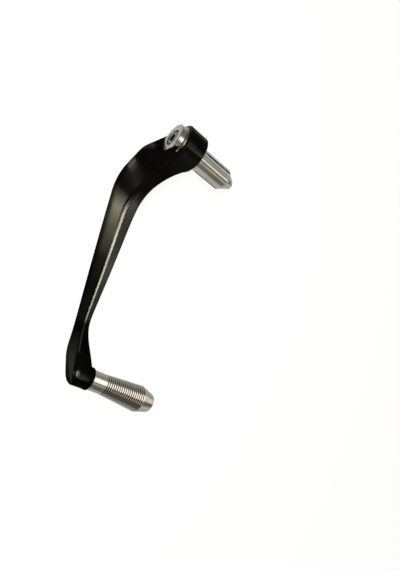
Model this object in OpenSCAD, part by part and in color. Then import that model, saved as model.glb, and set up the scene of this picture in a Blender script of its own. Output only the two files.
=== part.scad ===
// Brake lever guard for the left end of a handlebar, in millimetres.
// The origin is the centre of the clamp boss's inboard face, on the bar's axis.
// +X points forward along the arm, +Y points inboard along the bar, +Z is up.

/* [Clamp boss] */
// Radius of the round boss that the arm grows out of
boss_r = 13.4; // [12.8:0.1:15]
// Length of the boss along the bar's axis
boss_len = 14.7; // [13:0.1:18]
// Chamfer on both rims of the boss
boss_chamfer = 0.8; // [0.3:0.1:1.2]
// Diameter of the clamp bolt's clearance hole
bolt_hole_d = 6.6; // [6.4:0.1:7]
// Gap between the backing washer and the wall of the spot face cut into the arm
spot_gap = 0.8; // [0.3:0.1:1.2]
// How far the spot face reaches on, forwards and upwards, towards the arm's ridge
spot_shift = 1.6; // [0:0.1:2.5]

/* [Arm] */
// Distance from the bar's axis to the barrel's axis
arm_reach = 157; // [150:1:165]
// Where the arm bends forward, measured from the bar's axis
bend_x = 55; // [50:1:62]
// How far outboard the upper ridge stands at the bend
bend_out = 32.4; // [30:0.2:35]
// How far the lower edge stands outboard, just behind the bend
lower_out = 38; // [36:0.2:40]
// Thickness of the blade just past the bend
blade_t = 8.2; // [6.5:0.1:9.5]
// Length of the leaf, from the waist to the barrel's axis
leaf_len = 28; // [23:1:32]
// How far outboard the waist's outer face stands
waist_out = 20.9; // [19:0.1:23]
// Thickness at the waist
waist_t = 3.5; // [3:0.1:5]
// Height of the arm where it leaves the boss
root_h = 23.2; // [21:0.2:25]
// Height of the blade past the bend
blade_h = 21.2; // [18:0.2:23]
// Height at the waist
waist_h = 14.6; // [14:0.1:17]
// How far the root's top face falls towards the inner side
root_fall = 1.2; // [0:0.1:2]
// How far the leaf's top face falls towards the inner side
leaf_fall = 0.8; // [0:0.1:1.6]
// Width of the long bevel along the upper ridge
ridge_bevel = 2; // [0.8:0.1:2.6]
// Width of the bevel along the lower outer edge
lower_bevel = 1.5; // [0.5:0.1:2]
// Width of the bevels along the inner edges
inner_bevel = 1; // [0.4:0.1:1.2]

/* [Paddle] */
// Radius of the paddle's rounded end
paddle_r = 6.75; // [6.2:0.05:7.2]
// Height of the leaf at its widest, before the rounded end
leaf_h = 16.8; // [15:0.2:18]
// Radius of the paddle's outer rim
tip_round = 1.7; // [1:0.1:2.6]
// Thickness of the paddle at the barrel's axis
paddle_t = 11.9; // [10.5:0.1:14]
// Radius of the round seat pad under the barrel
pad_r = 6.9; // [6.2:0.1:7.4]
// How far the seat pad stands out of the paddle
pad_h = 1; // [0.5:0.1:2]

/* [End cap and backing washer] */
// Radius of the end cap's flange
cap_r = 10; // [9:0.1:10.8]
// Thickness of the end cap's flange
cap_t = 4; // [3:0.1:5]
// Radius of the hub behind the flange
hub_r = 7; // [6.6:0.1:7.6]
// Length of the hub behind the flange
hub_len = 4.5; // [3.6:0.1:5.5]
// Depth of the fine groove round the flange's rim
cap_groove = 0.35; // [0.2:0.05:0.6]
// Radius of the backing washer
washer_r = 11.2; // [10.9:0.1:11.8]
// Thickness of the backing washer
washer_t = 1.2; // [0.8:0.1:2]

/* [Clamp bolt] */
// Diameter of the clamp bolt's shank
bolt_d = 6; // [5.6:0.1:6.2]
// How far the clamp bolt's end stands past the expander sleeve, inside the nut
bolt_reach = 4; // [2.5:0.5:5]
// Diameter of the bolt's head
head_d = 10; // [9.4:0.1:10.6]
// Height of the bolt's head
head_h = 6; // [5:0.1:6.4]
// Width across the flats of the hexagon socket
socket_af = 5; // [4:0.1:6]
// Depth of the hexagon socket
socket_depth = 3; // [2:0.1:4]

/* [Expander] */
// Outer radius of the slit expander sleeve
sleeve_r = 8; // [7:0.1:9]
// Length of the expander sleeve
sleeve_len = 27.5; // [26:0.1:30]
// Radius of the sleeve's plain bore
sleeve_bore_r = 4.2; // [3.6:0.1:4.6]
// Radius of the sleeve's mouth at the wide end of its cone
mouth_r = 6.6; // [6.2:0.1:6.8]
// Length of the cone inside the sleeve
cone_len = 9.7; // [8:0.1:12]
// Chamfer on the sleeve's free end, measured across the radius
sleeve_chamfer = 0.9; // [0.2:0.1:1]
// Number of slits in the sleeve
slits = 3; // [2:1:4]
// Width of each slit
slit_w = 1.2; // [0.8:0.1:2]
// Where the slits start, measured from the boss's face
slit_start = 5; // [3:0.5:10]
// Height of the wedge nut's faceted nose
nose_h = 6.9; // [6:0.1:8]
// Number of flat facets on the nose
nose_facets = 6; // [6:1:8]

/* [Barrel] */
// Radius of the plain collar next to the paddle
collar_r = 6.1; // [5.4:0.1:6.8]
// Length of the plain collar
collar_len = 9.6; // [7:0.1:12]
// Radius of the thickest grip ring
barrel_r = 8.3; // [7:0.1:9]
// Angle by which the barrel splays forward of the bar's direction
barrel_toe = 1; // [0:0.2:3]
// Number of grooves round the barrel
grooves = 19; // [12:1:22]
// Distance from one groove to the next
groove_pitch = 1.4; // [1.2:0.05:1.6]
// Width of each groove
groove_w = 0.6; // [0.4:0.05:0.8]
// Depth of each groove
groove_depth = 0.55; // [0.3:0.05:0.8]
// Length of the tapered end
taper_len = 9.3; // [7:0.1:12]
// Radius of the barrel's end face
end_r = 5; // [4.2:0.1:5.4]
// Length of the stud inside the barrel and the paddle
stud_len = 16; // [14:0.5:17]
// Diameter of the stud
stud_d = 6; // [5.4:0.1:6.4]

/* [Hidden] */

// Clearances
hub_gap = 0.2;      // hub in the washer and in the boss's socket
head_gap = 0.7;     // bolt head in the end cap's counterbore
thread_gap = 0.05;  // screwed joints
cone_gap = 0.05;    // wedge nut in the sleeve's cone
sink = 0.3;         // how deep joined forms reach into each other

// Stations along the bar's axis, all negative outboard of the boss's inboard face
face_y = -boss_len;
flange_y = face_y - washer_t;
cap_y = flange_y - cap_t;
head_seat_y = cap_y + head_h + 0.3;
hub_y = flange_y + hub_len;
socket_y = max(hub_y, head_seat_y + 1.2) + hub_gap;
bolt_end_y = sleeve_len + bolt_reach;
cone_y = sleeve_len - cone_len;
nose_y = sleeve_len + 0.8;
nut_end_y = sleeve_len + nose_h;

// Stations at the waist and the paddle
waist_x = arm_reach - leaf_len;
pad_y = 0.6;
paddle_in = pad_y - pad_h;
paddle_out = paddle_in - paddle_t;
fold_len = 4;
stud_half = stud_len / 2;

// Lines of the arm seen from above, as [forward, inboard], rounded where they meet
ridge_line = [[-boss_r, face_y + sink], [9, face_y + sink], [bend_x, -bend_out],
              [waist_x, -waist_out], [arm_reach - 10, paddle_out - 4.2],
              [arm_reach, paddle_out - 0.2], [arm_reach + 8, paddle_out + 2.8]];
lower_line = [[1.5 - boss_r, face_y + sink], [12, -31.2], [bend_x - 16, -lower_out],
              [bend_x + 35, -waist_out - 7.2], [waist_x, -waist_out],
              [arm_reach - 10, paddle_out - 5.2],
              [arm_reach, paddle_out - 1], [arm_reach + 8, paddle_out + 2.4]];
inner_line = [[-boss_r, -sink], [boss_r - 1.5, -sink], [30, -15.4], [bend_x - 6, -bend_out + 9],
              [bend_x + 8, -bend_out + blade_t + 0.9], [waist_x - 2, waist_t - waist_out],
              [waist_x + fold_len, waist_t - waist_out + 1.9],
              [arm_reach - 2, paddle_in], [arm_reach + 8, paddle_in]];

// Half of the arm's height: the boss's outline first, then the arm's own lines
root_x = 5;
flush_r = boss_r - 0.15;
half_line = [[root_x, sqrt(flush_r * flush_r - root_x * root_x)], [12, root_h / 2 + 0.15],
             [21, root_h / 2 - 0.4], [30, root_h / 2 - 0.5], [70, blade_h / 2], [95, blade_h / 2 - 0.8],
             [waist_x, waist_h / 2], [waist_x + 8, waist_h / 2],
             [arm_reach - 10, leaf_h / 2], [arm_reach, paddle_r]];
ridge_bevels = [[60, ridge_bevel], [waist_x - 12, ridge_bevel * 0.6], [waist_x + 8, ridge_bevel * 0.6],
                [arm_reach, tip_round]];
lower_bevels = [[waist_x, lower_bevel], [arm_reach, tip_round]];

// Rounds the corners of a line by averaging it over a width that shrinks at root and waist
bend_round = 9;
fold_round = 4;
inner_lean = 0.3;   // share of the outer face's lean that the inner face follows
function width_at(x) = lookup(x, [[12, fold_round], [30, bend_round],
                                  [bend_x + 15, bend_round], [waist_x - 20, fold_round]]);
function rounded(line, x) =
    let (w = width_at(x), n = 5, s = [for (i = [-n : n]) lookup(x + w * i / n, line)])
    s * [for (v = s) 1] / len(s);

function half_at(x) =
    x < root_x ? sqrt(max(1, flush_r * flush_r - x * x)) :
    x < root_x + fold_round ? lookup(x, half_line) :
    x < arm_reach - fold_round ? rounded(half_line, x) :
    x < arm_reach ? lookup(x, half_line) :
    sqrt(max(0.1, paddle_r * paddle_r - (x - arm_reach) * (x - arm_reach)));

// Which way the top and bottom faces fall towards the inner side, along the arm
face_fall = [[10, 0], [25, root_fall], [bend_x, 0], [waist_x, 0], [waist_x + 12, leaf_fall],
             [arm_reach, 0]];

// How far a rounded edge stands back from its face, at a depth in from the outline
function edge_back(r, depth) = lookup(depth, [[0, r], [r * 0.3, r * 0.3], [r, 0]]);

// One corner of a section as [height, distance back from the face], from the face outwards;
// past the barrel's axis the depth is measured towards that axis, so the rim is round too
function corner(x, r) =
    [for (depth = [r, r * 0.3, 0])
        let (past = x - arm_reach, z = past <= 0 ? half_at(x) - depth :
                                       half_at(x) * (1 - depth / paddle_r))
        [z, edge_back(r, past <= 0 ? depth : max(0, paddle_r - norm([past, z])))]];

// One section of the arm at a given distance forward, all round
function section(x) =
    let (h = half_at(x), top = rounded(ridge_line, x), low = rounded(lower_line, x),
         inn = rounded(inner_line, x), back = max(0, inner_lean * (top - low)),
         drop = 1 - lookup(x, face_fall) / h,
         c = corner(x, lookup(x, ridge_bevels)), b = corner(x, lookup(x, lower_bevels)),
         i = corner(x, inner_bevel))
    concat(
        [for (k = [0 : 2]) [x, (top + low) / 2 - (top - low) / 2 * b[k][0] / h + b[k][1], -b[k][0]]],
        [for (k = [2 : -1 : 0]) [x, inn - back / 2 - back / 2 * i[k][0] / h - i[k][1], -i[k][0] * drop]],
        [for (k = [0 : 2]) [x, inn - back / 2 + back / 2 * i[k][0] / h - i[k][1], i[k][0] * drop]],
        [for (k = [2 : -1 : 0]) [x, (top + low) / 2 + (top - low) / 2 * c[k][0] / h + c[k][1], c[k][0]]]);

// Stations of the sections: close together round both ends, even along the arm
tip_steps = 8;
stations = concat(
    [for (a = [-60 : 12 : 0]) boss_r * sin(a)],
    [for (x = [2.5 : 2.5 : arm_reach - 1.5]) x],
    [for (k = [0 : tip_steps]) arm_reach + paddle_r * sin(k * 86 / tip_steps)]);

module swept_arm() {
    rings = [for (x = stations) section(x)];
    n = len(rings[0]);
    m = len(rings);
    sides = [for (i = [0 : m - 2], j = [0 : n - 1])
                let (a = i * n + j, b = i * n + (j + 1) % n)
                each [[a, a + n, b], [b, a + n, b + n]]];
    first = [for (j = [1 : n - 2]) [0, j, j + 1]];
    last = [for (j = [1 : n - 2]) [(m - 1) * n, (m - 1) * n + j + 1, (m - 1) * n + j]];
    polyhedron(points = [for (r = rings) each r], faces = concat(sides, first, last));
}

// Turns a profile of [radius, station] pairs about the bar's axis
module turned(profile) rotate([-90, 0, 0]) rotate_extrude($fn = 96) polygon(profile);

// A plain round bar from one station to another
module round_bar(r, from, to) turned([[0, from], [r, from], [r, to], [0, to]]);

module at_barrel() translate([arm_reach, 0, 0]) rotate([0, 0, -barrel_toe]) children();

module guard_arm() {
    c = boss_chamfer;
    color([0.10, 0.10, 0.11]) difference() {
        union() {
            swept_arm();
            turned([[0, face_y], [boss_r - c, face_y], [boss_r, face_y + c],
                    [boss_r, -c], [boss_r - c, 0], [0, 0]]);
            at_barrel() round_bar(pad_r, paddle_in - sink, pad_y);
        }
        round_bar(washer_r + spot_gap, face_y - 40, face_y);
        translate([spot_shift, 0, spot_shift])
            round_bar(washer_r + spot_gap, face_y - 40, face_y);
        round_bar(hub_r + hub_gap, face_y - 1, socket_y);
        round_bar(bolt_hole_d / 2, face_y, 1);
        at_barrel() round_bar(stud_d / 2 + thread_gap, pad_y - stud_half - 0.2, pad_y + 1);
    }
}

module end_cap() {
    g = cap_groove;
    e = 0.4;
    rim = cap_y + 0.9;
    r = head_d / 2 + head_gap;
    color([0.80, 0.79, 0.76])
        turned([[bolt_hole_d / 2, head_seat_y], [r, head_seat_y], [r, cap_y + e], [r + e, cap_y],
                [cap_r - e, cap_y], [cap_r, cap_y + e], [cap_r, rim], [cap_r - g, rim],
                [cap_r - g, rim + 0.4], [cap_r, rim + 0.4], [cap_r, flange_y],
                [hub_r, flange_y], [hub_r, socket_y - hub_gap],
                [bolt_hole_d / 2, socket_y - hub_gap]]);
}

module backing_washer() {
    e = 0.3;
    color([0.82, 0.81, 0.78])
        turned([[hub_r + hub_gap, flange_y], [washer_r - e, flange_y], [washer_r, flange_y + e],
                [washer_r, face_y], [hub_r + hub_gap, face_y]]);
}

module clamp_bolt() {
    r = head_d / 2;
    e = 0.6;
    top = head_seat_y - head_h;
    color([0.35, 0.34, 0.32]) difference() {
        turned([[0, top], [r - e, top], [r, top + e], [r, head_seat_y], [bolt_d / 2, head_seat_y],
                [bolt_d / 2, bolt_end_y - e], [bolt_d / 2 - e, bolt_end_y], [0, bolt_end_y]]);
        translate([0, top - 1, 0]) rotate([-90, 0, 0])
            cylinder(d = socket_af / cos(30), h = socket_depth + 1, $fn = 6);
    }
}

module expander_sleeve() {
    c = sleeve_chamfer;
    color([0.78, 0.78, 0.74]) difference() {
        turned([[sleeve_bore_r, 0], [sleeve_r, 0], [sleeve_r, sleeve_len - 1.4 * c],
                [sleeve_r - c, sleeve_len], [mouth_r, sleeve_len], [sleeve_bore_r, cone_y]]);
        for (k = [0 : slits - 1]) rotate([0, 8 - k * 360 / slits, 0])
            translate([sleeve_bore_r - 2, slit_start, -slit_w / 2])
                cube([sleeve_r, sleeve_len, slit_w]);
    }
}

module wedge_nut() {
    hole_y = bolt_end_y + 0.5;
    root_r = mouth_r - cone_gap;
    tip_r = root_r - 3.4;
    flat_0 = root_r - 0.15;
    flat_1 = tip_r - 0.5;
    tilt = atan((flat_0 - flat_1) / (nut_end_y - nose_y));
    color([0.76, 0.76, 0.73]) difference() {
        turned([[bolt_d / 2 + thread_gap, cone_y], [sleeve_bore_r - cone_gap, cone_y],
                [root_r, sleeve_len], [root_r, nose_y], [tip_r, nut_end_y], [0, nut_end_y],
                [0, hole_y], [bolt_d / 2 + thread_gap, hole_y]]);
        for (k = [0 : nose_facets - 1]) rotate([0, k * 360 / nose_facets + 10, 0])
            translate([flat_0, nose_y, 0]) rotate([0, 0, tilt])
                translate([0, -1, -10]) cube([10, 20, 20]);
    }
}

module tip_barrel() {
    body_y = pad_y + collar_len;
    step = (barrel_r - collar_r) / grooves;
    last_y = body_y + grooves * groove_pitch;
    end_y = last_y + taper_len;
    hole = stud_d / 2 + thread_gap;
    e = 0.5;
    rings = [for (k = [0 : grooves - 1])
        let (y = body_y + k * groove_pitch, r = collar_r + k * step)
        each [[r, y], [r - groove_depth, y + groove_w * 0.3], [r - groove_depth, y + groove_w * 0.7],
              [r + step, y + groove_w]]];
    color([0.80, 0.79, 0.76]) at_barrel()
        turned(concat([[hole, pad_y], [collar_r - e, pad_y], [collar_r, pad_y + e]], rings,
                      [[barrel_r, last_y], [end_r + 0.9, end_y - 0.8], [end_r + 0.6, end_y - 0.3],
                       [end_r, end_y], [0, end_y], [0, pad_y + stud_half + 0.4],
                       [hole, pad_y + stud_half + 0.4]]));
}

module barrel_stud() {
    e = 0.5;
    r = stud_d / 2;
    color([0.55, 0.55, 0.53]) at_barrel()
        turned([[0, pad_y - stud_half], [r - e, pad_y - stud_half], [r, pad_y - stud_half + e],
                [r, pad_y + stud_half - e], [r - e, pad_y + stud_half], [0, pad_y + stud_half]]);
}

guard_arm();
end_cap();
backing_washer();
clamp_bolt();
expander_sleeve();
wedge_nut();
tip_barrel();
barrel_stud();
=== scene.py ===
"""Brake lever guard for the end of a handlebar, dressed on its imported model.

The guard lies on a white table and is seen from above its outboard side. The arm is black
anodised aluminium; the end cap, washer, slit expander, wedge nut and grooved barrel are
turned aluminium; the clamp bolt and the barrel's stud are steel. Lengths are in metres,
apart from those whose names end in _mm.
"""

import logging
import math
from dataclasses import dataclass, field
from enum import Enum
from typing import Any

import bmesh
import bpy
from mathutils import Matrix, Vector

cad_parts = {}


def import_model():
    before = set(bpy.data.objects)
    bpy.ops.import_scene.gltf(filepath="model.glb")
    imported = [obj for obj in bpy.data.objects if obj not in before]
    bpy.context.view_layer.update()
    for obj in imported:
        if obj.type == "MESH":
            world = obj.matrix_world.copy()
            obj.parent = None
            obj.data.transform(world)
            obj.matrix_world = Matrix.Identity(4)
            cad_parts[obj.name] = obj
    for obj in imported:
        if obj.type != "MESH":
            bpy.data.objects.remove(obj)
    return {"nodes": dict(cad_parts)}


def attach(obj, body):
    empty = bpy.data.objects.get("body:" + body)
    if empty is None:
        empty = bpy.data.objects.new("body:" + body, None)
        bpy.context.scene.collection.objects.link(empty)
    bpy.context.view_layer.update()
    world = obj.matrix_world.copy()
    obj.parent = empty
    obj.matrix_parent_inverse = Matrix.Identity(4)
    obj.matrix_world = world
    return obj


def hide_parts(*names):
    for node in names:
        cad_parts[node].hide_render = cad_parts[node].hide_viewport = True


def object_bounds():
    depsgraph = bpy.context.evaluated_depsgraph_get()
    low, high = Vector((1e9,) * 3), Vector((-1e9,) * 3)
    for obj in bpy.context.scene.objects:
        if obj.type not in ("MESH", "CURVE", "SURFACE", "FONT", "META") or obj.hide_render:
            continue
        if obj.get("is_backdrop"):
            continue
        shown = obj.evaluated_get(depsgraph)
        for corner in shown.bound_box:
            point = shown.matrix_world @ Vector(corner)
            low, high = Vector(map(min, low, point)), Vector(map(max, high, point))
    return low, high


log = logging.getLogger("lever_guard")
MM = 0.001
TABLE_GAP = 0.0002  # between the part's lowest point and the table
NOISE_LOW, NOISE_HIGH = 0.3, 0.7  # nearly all of a noise texture's values lie between these

Place = tuple[float, float, float]
Span = tuple[float, float]
Stops = tuple[tuple[float, float], ...]


def linear(code: str) -> tuple[float, float, float, float]:
    """Turns an sRGB hex colour into the linear values that a shader takes.

    Args:
        code: Six hex digits, such as "c8c8c0".

    Returns:
        Red, green, blue and an alpha of 1.
    """
    parts = [int(code[i:i + 2], 16) / 255 for i in (0, 2, 4)]
    lin = [c / 12.92 if c <= 0.04045 else ((c + 0.055) / 1.055) ** 2.4 for c in parts]
    return lin[0], lin[1], lin[2], 1.0


def start_material(name: str) -> tuple[bpy.types.Material, bpy.types.NodeTree]:
    """Makes a material with an empty node tree.

    Args:
        name: The material's name.

    Returns:
        The material and its tree.
    """
    material = bpy.data.materials.new(name)
    material.use_nodes = True
    material.node_tree.nodes.clear()
    return material, material.node_tree


def add_node(tree: bpy.types.NodeTree, kind: str, links: dict[Any, Any] | None = None,
             **settings: Any) -> bpy.types.Node:
    """Adds a node, sets its properties and inputs, and links other sockets to it.

    Args:
        tree: The node tree that gets the node.
        kind: The node's type name without its "ShaderNode" prefix.
        links: Input name or number to a source socket or a plain value.
        **settings: Properties of the node, such as blend_type.

    Returns:
        The new node.
    """
    node = tree.nodes.new("ShaderNode" + kind)
    for name, value in settings.items():
        setattr(node, name, value)
    for key, value in (links or {}).items():
        if isinstance(value, bpy.types.NodeSocket):
            tree.links.new(value, node.inputs[key])
        else:
            node.inputs[key].default_value = value
    return node


class TurningAxis(Enum):
    """Where a turned piece's own axis lies, forward of the bar's axis, in metres."""

    BAR = 0.0
    BARREL = 0.157


@dataclass(frozen=True)
class Recess:
    """A stretch of a turned piece where all that lies nearer its axis than a line is recessed;
    its mask places painted shade.
    """

    start_mm: float
    end_mm: float
    radius_start_mm: float
    radius_end_mm: float

    def mask(self, tree: bpy.types.NodeTree, radius: bpy.types.NodeSocket,
             along: bpy.types.NodeSocket) -> bpy.types.NodeSocket:
        """Marks the recess.

        Args:
            tree: The material's node tree.
            radius: Distance from the piece's axis.
            along: Distance along the piece's axis.

        Returns:
            A value of 1 in the recess and 0 outside it.
        """
        start, end = self.start_mm * MM, self.end_mm * MM
        line = add_node(tree, "MapRange", {
            "Value": along, "From Min": start, "From Max": end,
            "To Min": self.radius_start_mm * MM, "To Max": self.radius_end_mm * MM})
        low = add_node(tree, "Math", {0: radius, 1: line.outputs["Result"]},
                       operation="LESS_THAN")
        after = add_node(tree, "Math", {0: along, 1: start}, operation="GREATER_THAN")
        until = add_node(tree, "Math", {0: along, 1: end}, operation="LESS_THAN")
        both = add_node(tree, "Math", {0: after.outputs[0], 1: until.outputs[0]},
                        operation="MULTIPLY")
        inside = add_node(tree, "Math", {0: both.outputs[0], 1: low.outputs[0]},
                          operation="MULTIPLY")
        return inside.outputs[0]


@dataclass(frozen=True)
class RubbedSpot:
    """A spot on the arm that hands have rubbed glossy, which fades out round its middle."""

    middle_mm: Place
    full_mm: float
    fade_mm: float
    gloss: float
    stretch: float = 1.0  # how much longer it is along the barrel than across

    def extra_gloss(self, tree: bpy.types.NodeTree,
                    place: bpy.types.NodeSocket) -> bpy.types.NodeSocket:
        """Gives the gloss that rubbing has added.

        Args:
            tree: The material's node tree.
            place: Object coordinates.

        Returns:
            The spot's gloss at its middle, falling to 0 round it.
        """
        squeeze = (1.0, 1.0 / self.stretch, 1.0)
        middle = tuple(v * s * MM for v, s in zip(self.middle_mm, squeeze))
        even = add_node(tree, "VectorMath", {0: place, 1: squeeze}, operation="MULTIPLY")
        away = add_node(tree, "VectorMath", {0: even.outputs["Vector"], 1: middle},
                        operation="DISTANCE")
        fade = add_node(tree, "MapRange", {
            "Value": away.outputs["Value"], "From Min": self.full_mm * MM,
            "From Max": self.fade_mm * MM, "To Min": self.gloss, "To Max": 0.0})
        return fade.outputs["Result"]


@dataclass(frozen=True)
class BlackAnodising:
    """Satin black anodised aluminium: bead blasted, then dyed and sealed.

    It looks almost black face on, with a soft grey bloom where it mirrors a bright field.
    """

    name: str = "black_anodised_aluminium"
    dye: str = "020202"
    bloom: str = "040403"
    cloud_mm: float = 14.0
    cloud_span: Span = (0.35, 0.7)  # noise values over which the dye turns to the bloom
    ior: float = 1.25  # clear oxide has 1.6; lowered to the little that the real skin mirrors
    roughness: float = 0.2
    rough_spread: Span = (-0.03, 0.05)
    gloss: float = 0.5
    root_mm: Span = (44.0, 54.0)  # along the arm; nearer the boss the blasting is duller
    root_gloss: float = 0.2
    leaf_mm: Span = (126.0, 129.5)  # along the arm; past it lies the leaf
    leaf_gloss: float = 0.025
    rubbed: tuple[RubbedSpot, ...] = (
        RubbedSpot((156.2, -11.0, 6.9), full_mm=0.6, fade_mm=2.2, gloss=2.2),
        RubbedSpot((157.2, -6.5, 6.9), full_mm=1.0, fade_mm=2.4, gloss=0.2, stretch=2.5))
    grit_mm: float = 0.35  # bead marks are about 0.05 mm; drawn coarser so that they show
    grit_depth_mm: float = 0.02
    grit_strength: float = 0.02
    edge_mm: float = 0.12
    edge_samples: int = 16

    def gloss_level(self, tree: bpy.types.NodeTree,
                    place: bpy.types.NodeSocket) -> bpy.types.NodeSocket:
        """Gives the gloss from the arm's root to its leaf, with the rubbed spots.

        Args:
            tree: The material's node tree.
            place: Object coordinates.

        Returns:
            The specular level.
        """
        along = add_node(tree, "SeparateXYZ", {"Vector": place}).outputs["X"]
        blade = add_node(tree, "MapRange", {
            "Value": along, "From Min": self.root_mm[0] * MM, "From Max": self.root_mm[1] * MM,
            "To Min": self.root_gloss, "To Max": self.gloss})
        # The leaf is blasted once more and mirrors less, but for where hands have rubbed it.
        leaf = add_node(tree, "MapRange", {
            "Value": along, "From Min": self.leaf_mm[0] * MM, "From Max": self.leaf_mm[1] * MM,
            "To Min": blade.outputs["Result"], "To Max": self.leaf_gloss})
        level = leaf.outputs["Result"]
        for spot in self.rubbed:
            level = add_node(tree, "Math", {0: level, 1: spot.extra_gloss(tree, place)},
                             operation="ADD").outputs[0]
        return level

    def build(self) -> bpy.types.Material:
        """Builds the material.

        Returns:
            The node material.
        """
        material, tree = start_material(self.name)
        place = add_node(tree, "TexCoord").outputs["Object"]
        grit = add_node(tree, "TexNoise", {
            "Vector": place, "Scale": 1 / (self.grit_mm * MM), "Detail": 3.0, "Roughness": 0.6})
        cloud = add_node(tree, "TexNoise", {
            "Vector": place, "Scale": 1 / (self.cloud_mm * MM), "Detail": 3.0,
            "Roughness": 0.55}).outputs["Fac"]
        # The dye takes a little unevenly, which only shows as a faint clouding.
        patches = add_node(tree, "MapRange", {
            "Value": cloud, "From Min": self.cloud_span[0], "From Max": self.cloud_span[1]})
        tone = add_node(tree, "Mix", {
            "Factor": patches.outputs["Result"], "A": linear(self.dye),
            "B": linear(self.bloom)}, data_type="RGBA")
        rough = add_node(tree, "MapRange", {
            "Value": cloud, "From Min": NOISE_LOW, "From Max": NOISE_HIGH,
            "To Min": self.roughness + self.rough_spread[0],
            "To Max": self.roughness + self.rough_spread[1]})
        # Blasting takes the keenness off every edge, so each one carries a thin line of light.
        soft = add_node(tree, "Bevel", {"Radius": self.edge_mm * MM},
                        samples=self.edge_samples)
        bump = add_node(tree, "Bump", {
            "Height": grit.outputs["Fac"], "Strength": self.grit_strength,
            "Distance": self.grit_depth_mm * MM, "Normal": soft.outputs["Normal"]})
        shader = add_node(tree, "BsdfPrincipled", {
            "Base Color": tone.outputs["Result"], "Roughness": rough.outputs["Result"],
            "Normal": bump.outputs["Normal"], "Metallic": 0.0, "IOR": self.ior,
            "Specular IOR Level": self.gloss_level(tree, place)})
        add_node(tree, "OutputMaterial", {"Surface": shader.outputs["BSDF"]})
        return material


@dataclass(frozen=True)
class TurnedAluminium:
    """Bare aluminium as it leaves the lathe: fine rings round the turning axis.

    The rings draw reflections out across the piece and give pale, slightly warm bands.
    """

    name: str
    axis: TurningAxis
    metal: str = "dcdad2"
    shade: str = "bdb9ae"
    roughness: float = 0.2
    rough_spread: Span = (-0.04, 0.07)
    ring_mm: float = 0.22  # tool marks are about 0.1 mm; drawn at twice that so that they show
    ring_depth_mm: float = 0.02
    ring_strength: float = 0.14
    smear_mm: float = 5.0
    smear_span: Span = (0.4, 0.75)  # noise values over which the metal turns to the shade
    smear_share: float = 0.8
    toe_deg: float = 0.0  # how far the piece's axis is turned from the bar's
    recesses: tuple[Recess, ...] = ()
    # Colour of the painted shade that the recess masks lay on
    painted_shade: str = "2a2620"

    def build(self) -> bpy.types.Material:
        """Builds the material.

        Returns:
            The node material.
        """
        material, tree = start_material(self.name)
        place = add_node(tree, "TexCoord").outputs["Object"]
        centred = add_node(tree, "Mapping", {
            "Vector": place, "Location": (self.axis.value, 0.0, 0.0),
            "Rotation": (0.0, 0.0, math.radians(-self.toe_deg))}, vector_type="TEXTURE")
        parts = add_node(tree, "SeparateXYZ", {"Vector": centred.outputs["Vector"]})
        along = parts.outputs["Y"]
        across = add_node(tree, "CombineXYZ", {"X": parts.outputs["X"], "Z": parts.outputs["Z"]})
        radius = add_node(tree, "VectorMath", {0: across.outputs[0]},
                          operation="LENGTH").outputs["Value"]
        # Rings on the faces follow the radius and rings on the sides follow the length.
        reach = add_node(tree, "Math", {0: radius, 1: along}, operation="ADD")
        line = add_node(tree, "CombineXYZ", {"X": reach.outputs[0]})
        marks = add_node(tree, "TexNoise", {
            "Vector": line.outputs[0], "Scale": 1 / (self.ring_mm * MM), "Detail": 2.0,
            "Roughness": 0.5}).outputs["Fac"]
        smear = add_node(tree, "TexNoise", {
            "Vector": place, "Scale": 1 / (self.smear_mm * MM), "Detail": 4.0})
        patches = add_node(tree, "MapRange", {
            "Value": smear.outputs["Fac"], "From Min": self.smear_span[0],
            "From Max": self.smear_span[1], "To Max": self.smear_share})
        colour = add_node(tree, "Mix", {
            "Factor": patches.outputs["Result"], "A": linear(self.metal),
            "B": linear(self.shade)}, data_type="RGBA").outputs["Result"]
        rough = add_node(tree, "MapRange", {
            "Value": marks, "From Min": NOISE_LOW, "From Max": NOISE_HIGH,
            "To Min": self.roughness + self.rough_spread[0],
            "To Max": self.roughness + self.rough_spread[1]})
        bump = add_node(tree, "Bump", {
            "Height": marks, "Strength": self.ring_strength,
            "Distance": self.ring_depth_mm * MM})
        # Painted shade darkens the grooves, slits and counterbore; at the sleeve's foot it is a
        # painted contact shadow.
        for recess in self.recesses:
            colour = add_node(tree, "Mix", {
                "Factor": recess.mask(tree, radius, along), "A": colour,
                "B": linear(self.painted_shade)}, data_type="RGBA").outputs["Result"]
        shader = add_node(tree, "BsdfPrincipled", {
            "Base Color": colour, "Roughness": rough.outputs["Result"],
            "Normal": bump.outputs["Normal"], "Metallic": 1.0})
        add_node(tree, "OutputMaterial", {"Surface": shader.outputs["BSDF"]})
        return material


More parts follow.
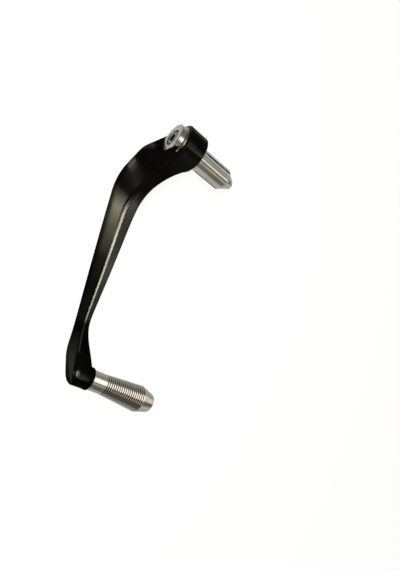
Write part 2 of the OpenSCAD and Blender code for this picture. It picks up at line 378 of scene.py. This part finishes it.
@dataclass(frozen=True)
class BoltSteel:
    """Stainless steel bolt: forged, with a dull grey skin and oily stains."""

    name: str
    metal: str = "bab7ae"
    stain: str = "5c5952"
    stain_mm: float = 2.5
    stain_span: Span = (0.4, 0.65)  # noise values over which the metal turns to the stain
    roughness: float = 0.34
    rough_spread: Span = (-0.06, 0.08)

    def build(self) -> bpy.types.Material:
        """Builds the material.

        Returns:
            The node material.
        """
        material, tree = start_material(self.name)
        place = add_node(tree, "TexCoord").outputs["Object"]
        cloud = add_node(tree, "TexNoise", {
            "Vector": place, "Scale": 1 / (self.stain_mm * MM), "Detail": 5.0}).outputs["Fac"]
        patches = add_node(tree, "MapRange", {
            "Value": cloud, "From Min": self.stain_span[0], "From Max": self.stain_span[1]})
        tone = add_node(tree, "Mix", {
            "Factor": patches.outputs["Result"], "A": linear(self.metal),
            "B": linear(self.stain)}, data_type="RGBA")
        rough = add_node(tree, "MapRange", {
            "Value": cloud, "From Min": NOISE_LOW, "From Max": NOISE_HIGH,
            "To Min": self.roughness + self.rough_spread[0],
            "To Max": self.roughness + self.rough_spread[1]})
        shader = add_node(tree, "BsdfPrincipled", {
            "Base Color": tone.outputs["Result"], "Roughness": rough.outputs["Result"],
            "Metallic": 1.0})
        add_node(tree, "OutputMaterial", {"Surface": shader.outputs["BSDF"]})
        return material


@dataclass(frozen=True)
class WhiteTable:
    """White paper sweep: pure white to the eye, paler grey in the metal, with a faint shadow."""

    name: str = "white_paper"
    paper: str = "f6f6f6"
    gloss_tint: str = "fffefd"
    glow: float = 0.92  # share of its white that no shadow takes away
    in_gloss: float = 0.56  # how bright the metal mirrors it

    def build(self) -> bpy.types.Material:
        """Builds the material.

        Returns:
            The node material.
        """
        material, tree = start_material(self.name)
        rays = add_node(tree, "LightPath")
        seen = add_node(tree, "Math", {0: rays.outputs["Is Camera Ray"],
                                       1: rays.outputs["Is Transmission Ray"]},
                        operation="MAXIMUM")
        share = add_node(tree, "Math", {0: seen.outputs[0], 1: self.glow},
                         operation="MULTIPLY")
        paper = add_node(tree, "BsdfDiffuse", {"Color": linear(self.paper)})
        white = add_node(tree, "Emission", {"Color": linear("ffffff"), "Strength": 1.0})
        pale = add_node(tree, "Emission", {
            "Color": linear(self.gloss_tint), "Strength": self.in_gloss})
        plain = add_node(tree, "MixShader", {
            0: share.outputs[0], 1: paper.outputs[0], 2: white.outputs[0]})
        mix = add_node(tree, "MixShader", {
            0: rays.outputs["Is Glossy Ray"], 1: plain.outputs[0], 2: pale.outputs[0]})
        add_node(tree, "OutputMaterial", {"Surface": mix.outputs[0]})
        return material


@dataclass(frozen=True)
class EvenGlow:
    """Bright paper strip, as even as a lit window."""

    name: str
    bright: float
    tint: str

    def build(self) -> bpy.types.Material:
        """Builds the material.

        Returns:
            The node material.
        """
        material, tree = start_material(self.name)
        glow = add_node(tree, "Emission", {"Color": linear(self.tint), "Strength": self.bright})
        add_node(tree, "OutputMaterial", {"Surface": glow.outputs[0]})
        return material


@dataclass(frozen=True)
class BandedGlow:
    """Black card with pale bands of light along it, which fade into each other."""

    name: str = "black_card"
    bright: float = 14.0
    tint: str = "f8f0cc"
    run: Span = (-0.08, 0.12)  # stretch of the card's X over which the bands lie
    bands: Stops = (
        (0.0, 0.005), (0.05, 0.05), (0.08, 0.1), (0.11, 0.04), (0.15, 0.015), (0.20, 0.015),
        (0.285, 0.33), (0.36, 0.115), (0.46, 0.014), (0.55, 0.004), (0.70, 0.006),
        (0.82, 0.22), (0.88, 0.22), (1.0, 0.03))
    rim: Span = (0.1355, 0.1385)  # of the card's Y: the bands end there, at one thin line
    rim_lines: Stops = ((0.15, 1.0), (0.30, 0.05), (0.55, 0.05), (0.63, 0.5), (0.72, 0.05))

    @staticmethod
    def profile(tree: bpy.types.NodeTree, source: bpy.types.NodeSocket, ends: Span,
                stops: Stops) -> bpy.types.NodeSocket:
        """Gives the light's level over one stretch of the card.

        Args:
            tree: The material's node tree.
            source: Where a point lies along the stretch.
            ends: Where the stretch starts and ends.
            stops: Pairs of share of the stretch and level, in rising order.

        Returns:
            The level, as a grey.
        """
        share = add_node(tree, "MapRange", {
            "Value": source, "From Min": ends[0], "From Max": ends[1]})
        node = add_node(tree, "ValToRGB", {"Fac": share.outputs["Result"]})
        elements = node.color_ramp.elements
        while len(elements) < len(stops):
            elements.new(0.5)
        for element, (position, grey) in zip(elements, stops):
            element.position = position
            element.color = (grey, grey, grey, 1.0)
        return node.outputs["Color"]

    def build(self) -> bpy.types.Material:
        """Builds the material.

        Returns:
            The node material.
        """
        material, tree = start_material(self.name)
        place = add_node(tree, "SeparateXYZ",
                         {"Vector": add_node(tree, "TexCoord").outputs["Object"]})
        fade = self.profile(tree, place.outputs["X"], self.run, self.bands)
        lines = self.profile(tree, place.outputs["Y"], self.rim, self.rim_lines)
        both = add_node(tree, "Math", {0: fade, 1: lines}, operation="MULTIPLY")
        level = add_node(tree, "Math", {0: both.outputs[0], 1: self.bright},
                         operation="MULTIPLY")
        glow = add_node(tree, "Emission", {
            "Color": linear(self.tint), "Strength": level.outputs[0]})
        add_node(tree, "OutputMaterial", {"Surface": glow.outputs[0]})
        return material


def dress(piece: bpy.types.Object, material: bpy.types.Material) -> None:
    """Gives a piece one finish.

    Args:
        piece: The piece.
        material: The finish.
    """
    piece.data.materials.clear()
    piece.data.materials.append(material)
    log.info("dressed %s in %s", piece.name, material.name)


@dataclass
class GuardArm:
    """The bent arm with its boss, as one smooth-shaded skin."""

    nodes: dict[str, bpy.types.Object]
    node: str = "guard_arm"
    weld: float = 0.00002
    crease_deg: float = 36.0  # sharper turns than this stay edges all over the arm
    ridge_deg: float = 14.0  # and so do sharper turns than this along its bevels
    ridge_rise: float = 0.3  # most that a bevel's edge climbs for its length

    def sharpen_ridges(self, skin: bpy.types.Object) -> None:
        """Keeps the bevels crisp: their long edges run along the arm and hardly rise.

        Args:
            skin: The welded arm.
        """
        form = bmesh.new()
        form.from_mesh(skin.data)
        least = math.radians(self.ridge_deg)
        for edge in form.edges:
            start, end = (v.co for v in edge.verts)
            along = abs(end.z - start.z) < self.ridge_rise * (end - start).length
            if len(edge.link_faces) == 2 and along and edge.calc_face_angle() > least:
                edge.smooth = False
        form.to_mesh(skin.data)
        form.free()

    def build(self) -> bpy.types.Object:
        """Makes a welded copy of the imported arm, so that its swept faces shade as smooth ones.

        Returns:
            The piece that stands for the arm.
        """
        bpy.ops.object.select_all(action="DESELECT")
        source = self.nodes[self.node]
        skin = bpy.data.objects.new("arm_skin", source.data.copy())
        bpy.context.scene.collection.objects.link(skin)
        skin.select_set(True)
        bpy.context.view_layer.objects.active = skin
        bpy.ops.mesh.customdata_custom_splitnormals_clear()
        bpy.ops.object.mode_set(mode="EDIT")
        bpy.ops.mesh.select_all(action="SELECT")
        bpy.ops.mesh.remove_doubles(threshold=self.weld)
        bpy.ops.mesh.normals_make_consistent(inside=False)
        bpy.ops.object.mode_set(mode="OBJECT")
        bpy.ops.object.shade_smooth_by_angle(angle=math.radians(self.crease_deg))
        self.sharpen_ridges(skin)
        weigh = skin.modifiers.new("weigh_normals", "WEIGHTED_NORMAL")
        weigh.keep_sharp = True
        bpy.ops.object.modifier_apply(modifier=weigh.name)
        dress(skin, BlackAnodising().build())
        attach(skin, "root")
        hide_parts(self.node)
        return skin


@dataclass
class EndCapSet:
    """The end cap with its counterbore, the washer behind it and the bolt through both."""

    nodes: dict[str, bpy.types.Object]
    # Its mask darkens the counterbore's gap round the bolt head with painted shade.
    counterbore: Recess = Recess(-19.4, -10.0, 5.9, 5.9)

    def build(self) -> None:
        """Dresses the cap, the washer and the bolt."""
        dress(self.nodes["end_cap"], TurnedAluminium(
            "turned_aluminium_cap", TurningAxis.BAR, recesses=(self.counterbore,),
            painted_shade="12100d").build())
        dress(self.nodes["backing_washer"], TurnedAluminium(
            "turned_aluminium_washer", TurningAxis.BAR, metal="b4b1a8", shade="94918a",
            roughness=0.24).build())
        dress(self.nodes["clamp_bolt"], BoltSteel("stainless_bolt_steel").build())


@dataclass
class Expander:
    """The slit sleeve that grips inside the bar, and the wedge nut in its cone."""

    nodes: dict[str, bpy.types.Object]
    # Its mask darkens the slit walls with painted shade.
    slits: Recess = Recess(0.2, 27.2, 7.8, 7.5)
    # Its mask darkens the sleeve's foot by the boss with a painted contact shadow.
    foot: Recess = Recess(-0.5, 0.8, 9.0, 9.0)

    def build(self) -> None:
        """Dresses the sleeve and the nut."""
        dress(self.nodes["expander_sleeve"], TurnedAluminium(
            "turned_aluminium_sleeve", TurningAxis.BAR, roughness=0.14,
            recesses=(self.slits, self.foot)).build())
        dress(self.nodes["wedge_nut"],
              TurnedAluminium("turned_aluminium_nut", TurningAxis.BAR).build())


@dataclass
class GroovedBarrel:
    """The grooved barrel on the arm's tip and the stud that holds it."""

    nodes: dict[str, bpy.types.Object]
    toe_deg: float = 1.0
    # Its mask darkens the grooves with painted shade.
    grooves: Recess = Recess(10.3, 36.9, 5.9, 8.1)

    def build(self) -> None:
        """Dresses the barrel and its stud."""
        dress(self.nodes["tip_barrel"], TurnedAluminium(
            "turned_aluminium_barrel", TurningAxis.BARREL, metal="c4c2ba", roughness=0.18,
            toe_deg=self.toe_deg, recesses=(self.grooves,), painted_shade="554f45").build())
        dress(self.nodes["barrel_stud"], BoltSteel("plated_stud_steel", metal="9a9890").build())


class Lit(Enum):
    """The pieces that one lamp or strip lights, so that each finish has its own reflections."""

    ARM = ("arm_skin",)
    ARM_AND_TABLE = ("arm_skin", "table")
    CAP = ("end_cap", "backing_washer", "clamp_bolt")
    SLEEVE = ("expander_sleeve", "wedge_nut")
    BARREL = ("tip_barrel",)

    def keep_to(self, source: bpy.types.Object) -> None:
        """Keeps a light to these pieces.

        Args:
            source: The lamp or the glowing strip.
        """
        lit = bpy.data.collections.new(f"lit_by_{source.name}")
        for piece in self.value:
            lit.objects.link(bpy.data.objects[piece])
        source.light_linking.receiver_collection = lit


@dataclass(frozen=True)
class Panel:
    """A flat glowing panel on the table, which only glossy faces see."""

    name: str
    at: Span
    size: Span  # length and width
    turn_deg: float  # from the X axis
    lift: float  # how far it lies above the table
    finish: EvenGlow | BandedGlow
    lit: Lit | None = None

    def lay(self, floor_z: float) -> None:
        """Lays the panel.

        Args:
            floor_z: The table's height.
        """
        bpy.ops.object.select_all(action="DESELECT")
        bpy.ops.mesh.primitive_plane_add(size=1.0, location=(0.0, 0.0, 0.0))
        panel = bpy.context.object
        panel.name = self.name
        panel.scale = (*self.size, 1.0)
        bpy.ops.object.transform_apply(location=False, rotation=False, scale=True)
        panel.location = (*self.at, floor_z + self.lift)
        panel.rotation_euler = (0.0, 0.0, math.radians(self.turn_deg))
        panel.data.materials.append(self.finish.build())
        panel.visible_camera = False
        panel.visible_shadow = False
        panel.visible_diffuse = False
        if self.lit:
            self.lit.keep_to(panel)
        panel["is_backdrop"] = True


@dataclass(frozen=True)
class SoftLamp:
    """A soft rectangular lamp that faces the part; a radiance of 1 is as bright as paper."""

    name: str
    at: Place
    size: Span
    radiance: float
    colour: str
    lit: Lit

    def hang(self, look_at: Vector) -> None:
        """Hangs the lamp.

        Args:
            look_at: The point that it faces.
        """
        data = bpy.data.lights.new(self.name, "AREA")
        data.shape = "RECTANGLE"
        data.size, data.size_y = self.size
        data.energy = self.radiance * math.pi * self.size[0] * self.size[1]
        data.color = linear(self.colour)[:3]
        lamp = bpy.data.objects.new(self.name, data)
        bpy.context.scene.collection.objects.link(lamp)
        lamp.location = self.at
        away = Vector(self.at) - look_at
        up = away.cross(Vector((1.0, 0.0, 0.0))).normalized()
        side = up.cross(away).normalized()
        turn = Matrix((side, up, away.normalized())).transposed()
        lamp.rotation_euler = turn.to_euler()
        lamp.visible_camera = False
        self.lit.keep_to(lamp)


PANELS = (
    # The pale stretches along the arm's outer face; the metals mirror them too
    Panel("black_card", (0.106, -0.169), (0.50, 0.30), 12.0, 0.0004, BandedGlow()),
    # The bright line along its ridge
    Panel("ridge_strip", (0.045, -0.146), (0.087, 0.008), 41.0, 0.0008,
          EvenGlow("ridge_strip", 27.0, "f9f1d2"), Lit.ARM),
    # The small patch on the outside of its bend
    Panel("bend_patch", (0.0165, -0.0448), (0.008, 0.003), -15.0, 0.0008,
          EvenGlow("bend_patch", 20.0, "f6f4e2"), Lit.ARM),
)

LAMPS = (
    SoftLamp("front_key", (0.078, -0.243, 0.5), (0.335, 0.05), 105.0, "f9f1d8",
             Lit.ARM_AND_TABLE),
    SoftLamp("top_strip", (0.03, 0.145, 0.5), (0.28, 0.08), 3.4, "fbfbde", Lit.ARM),
    SoftLamp("top_corner", (-0.10, 0.155, 0.5), (0.03, 0.05), 14.0, "fffaea", Lit.ARM),
    SoftLamp("paddle_glint", (0.366, 0.231, 0.5), (0.04, 0.04), 36.0, "fffaea", Lit.ARM),
    SoftLamp("boss_glint", (0.055, 0.248, 0.52), (0.06, 0.045), 40.0, "fffaea", Lit.ARM),
    SoftLamp("cap_streak", (0.0, 0.21, 0.56), (0.30, 0.30), 1.6, "fffdf6", Lit.CAP),
    SoftLamp("cap_side", (0.45, 0.16, 0.30), (0.20, 0.20), 0.5, "f0dcc4", Lit.CAP),
    SoftLamp("sleeve_top", (0.058, 0.253, 0.547), (0.17, 0.40), 0.9, "fffaf2", Lit.SLEEVE),
    SoftLamp("sleeve_left", (-0.215, 0.253, 0.506), (0.20, 0.40), 0.32, "fff8ee", Lit.SLEEVE),
    SoftLamp("sleeve_end", (-0.36, 0.25, 0.26), (0.15, 0.15), 0.55, "fff8ee", Lit.SLEEVE),
    SoftLamp("sleeve_right", (0.339, 0.253, 0.433), (0.12, 0.40), 0.40, "fff8ee", Lit.SLEEVE),
    SoftLamp("barrel_streak", (-0.02, 0.255, 0.40), (0.38, 0.30), 1.9, "fffaf2", Lit.BARREL),
    SoftLamp("barrel_side", (-0.235, 0.274, 0.18), (0.30, 0.25), 0.22, "fff8ee", Lit.BARREL),
    SoftLamp("barrel_right", (0.337, 0.27, 0.395), (0.15, 0.30), 0.5, "f4e6d4", Lit.BARREL),
    SoftLamp("barrel_end", (-0.007, 0.47, 0.146), (0.30, 0.20), 0.95, "fff8ee", Lit.BARREL),
    SoftLamp("barrel_front", (0.44, 0.45, 0.06), (0.20, 0.20), 0.5, "fff8ee", Lit.BARREL),
)


@dataclass
class Studio:
    """The table, the panels and lamps round the part, the room and the camera."""

    floor_z: float
    table_size: float = 6.0
    look_at: Vector = field(default_factory=lambda: Vector((0.08, -0.015, 0.0)))
    sky: str = "f6f2ea"
    sky_level: float = 0.5
    sky_in_gloss: float = 0.20
    camera_at: Place = (0.1376, -0.1152, 0.2382)
    camera_right: Place = (-0.3937, 0.7089, 0.5852)
    camera_back: Place = (0.2192, -0.5459, 0.8087)
    lens_mm: float = 27.158
    sensor_mm: float = 36.0
    clip: Span = (0.01, 20.0)

    def lay_table(self) -> None:
        """Lays the white table just under the part."""
        bpy.ops.object.select_all(action="DESELECT")
        bpy.ops.mesh.primitive_plane_add(size=self.table_size,
                                         location=(self.look_at.x, 0.0, self.floor_z))
        table = bpy.context.object
        table.name = "table"
        table.data.materials.append(WhiteTable().build())
        table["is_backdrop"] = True

    def fill_room(self) -> None:
        """Fills the room with plain, even light: white to the eye, dim in glossy faces."""
        world = bpy.data.worlds.new("room")
        bpy.context.scene.world = world
        world.use_nodes = True
        tree = world.node_tree
        tree.nodes.clear()
        sky = linear(self.sky)
        rays = add_node(tree, "LightPath")
        plain = add_node(tree, "Background", {"Color": sky, "Strength": self.sky_level})
        mirrored = add_node(tree, "Background", {"Color": sky, "Strength": self.sky_in_gloss})
        white = add_node(tree, "Background", {"Color": linear("ffffff"), "Strength": 1.0})
        lit = add_node(tree, "MixShader", {
            0: rays.outputs["Is Glossy Ray"], 1: plain.outputs[0], 2: mirrored.outputs[0]})
        mix = add_node(tree, "MixShader", {
            0: rays.outputs["Is Camera Ray"], 1: lit.outputs[0], 2: white.outputs[0]})
        add_node(tree, "OutputWorld", {"Surface": mix.outputs[0]})

    def set_camera(self) -> None:
        """Places the camera where the photograph was taken from."""
        data = bpy.data.cameras.new("camera")
        data.sensor_fit = "AUTO"
        data.sensor_width = self.sensor_mm
        data.lens = self.lens_mm
        data.clip_start, data.clip_end = self.clip
        camera = bpy.data.objects.new("camera", data)
        bpy.context.scene.collection.objects.link(camera)
        right = Vector(self.camera_right).normalized()
        back = Vector(self.camera_back).normalized()
        turn = Matrix((right, back.cross(right).normalized(), back)).transposed().to_4x4()
        camera.matrix_world = Matrix.Translation(self.camera_at) @ turn
        bpy.context.scene.camera = camera

    def build(self) -> None:
        """Sets up the table, panels, lamps, room and camera."""
        self.lay_table()
        for panel in PANELS:
            panel.lay(self.floor_z)
        for lamp in LAMPS:
            lamp.hang(self.look_at)
        self.fill_room()
        self.set_camera()
        log.info("studio ready, table at %.4f m", self.floor_z)


def main() -> None:
    """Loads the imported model, dresses it and sets up the studio."""
    logging.basicConfig(level=logging.INFO, format="%(name)s: %(message)s")
    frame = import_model()
    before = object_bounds()
    for assembly in (GuardArm, EndCapSet, Expander, GroovedBarrel):
        assembly(frame["nodes"]).build()
    Studio(floor_z=before[0].z - TABLE_GAP).build()
    bpy.context.scene.view_settings.view_transform = "Standard"


if __name__ == "__main__":
    main()
